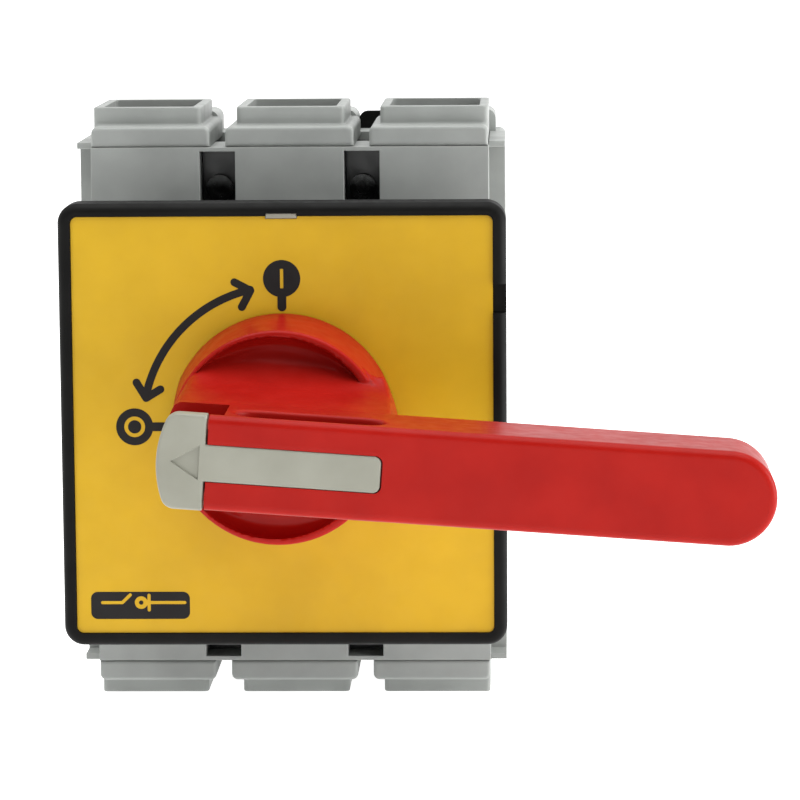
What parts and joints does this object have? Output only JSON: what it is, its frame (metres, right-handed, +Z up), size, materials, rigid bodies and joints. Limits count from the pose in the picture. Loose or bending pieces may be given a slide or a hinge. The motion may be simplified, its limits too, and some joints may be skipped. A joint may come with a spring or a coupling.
{
  "type": "rotary isolator switch",
  "caption": "Door-mounted rotary isolator: red lever handle on a yellow and black square plate, padlock slide, grey pole body with terminal shrouds and rail clip.",
  "frame": {"origin": "on the handle's axis, in the plane where the front plate's back meets the door", "axes": "+X to the right and +Z up as seen by someone facing the switch, +Y into the cabinet, along the handle's axis"},
  "size_m": [0.1408, 0.139, 0.1244],
  "materials": {
    "black_plastic": "moulded, fine satin texture",
    "yellow_plastic": "moulded, smooth satin",
    "pale_plastic": "moulded, satin",
    "black_rubber": "moulded",
    "red_plastic": "moulded, semi-gloss",
    "plated_steel": "zinc plated",
    "black_steel": "black passivated, glossy",
    "brass": "turned",
    "white_plastic": "moulded, low friction",
    "green_plastic": "moulded, heat resistant",
    "copper": "stamped copper, dull",
    "grey_plastic": "moulded, fine satin texture",
    "light_grey_plastic": "moulded, satin"
  },
  "bodies": {
    "switch_body": {"front_plate": "black_plastic", "legend_plate": "yellow_plastic", "legend_catch": "pale_plastic", "door_gasket": "black_rubber", "hub_seal": "black_rubber", "plate_screws": "plated_steel", "drive_adaptor": "black_plastic", "screw_inserts": "brass", "shaft_bush": "white_plastic", "line_contact_left": "copper", "line_contact_middle": "copper", "line_contact_right": "copper", "load_contact_left": "copper", "load_contact_middle": "copper", "load_contact_right": "copper", "line_clamp_left": "plated_steel", "line_clamp_middle": "plated_steel", "line_clamp_right": "plated_steel", "load_clamp_left": "plated_steel", "load_clamp_middle": "plated_steel", "load_clamp_right": "plated_steel", "terminal_screws": "plated_steel", "front_cover": "grey_plastic", "contact_housing": "black_plastic", "body_screws": "black_steel", "rear_base": "light_grey_plastic", "top_shroud_left": "grey_plastic", "top_shroud_middle": "grey_plastic", "top_shroud_right": "grey_plastic", "bottom_shroud_left": "grey_plastic", "bottom_shroud_middle": "grey_plastic", "bottom_shroud_right": "grey_plastic", "clip_spring": "plated_steel"},
    "handle_body": {"handle": "red_plastic", "handle_circlip": "plated_steel", "drive_shaft": "plated_steel", "drive_pinion": "white_plastic"},
    "padlock_slide_body": {"padlock_slide": "pale_plastic"},
    "carriage_body": {"contact_carriage": "green_plastic", "contact_springs": "plated_steel", "bridge_left": "copper", "bridge_middle": "copper", "bridge_right": "copper"},
    "rail_clip_body": {"rail_clip": "black_plastic"}
  },
  "joints": [
    {"name": "handle_turn", "type": "hinge", "parent": "switch_body", "child": "handle_body", "pos_m": [0, 0, 0], "axis": [0, 1, 0], "range_deg": [-4.15, 85.85]},
    {"name": "padlock_slide_pull", "type": "slide", "parent": "handle_body", "child": "padlock_slide_body", "axis": [-0.9974, 0, 0.0724], "range_m": [0, 0.008]},
    {"name": "carriage_slide", "type": "slide", "parent": "switch_body", "child": "carriage_body", "axis": [1, 0, 0], "range_m": [-0.0005, 0.0091]},
    {"name": "rail_clip_pull", "type": "slide", "parent": "switch_body", "child": "rail_clip_body", "axis": [0, 0, 1], "range_m": [0, 0.003], "stiffness_N_per_m": 800, "springref_m": -0.0005, "deforming": ["clip_spring"]}
  ],
  "couplings": [
    {"joint": "carriage_slide", "follows": "handle_turn", "m_per_rad": 0.006}
  ]
}
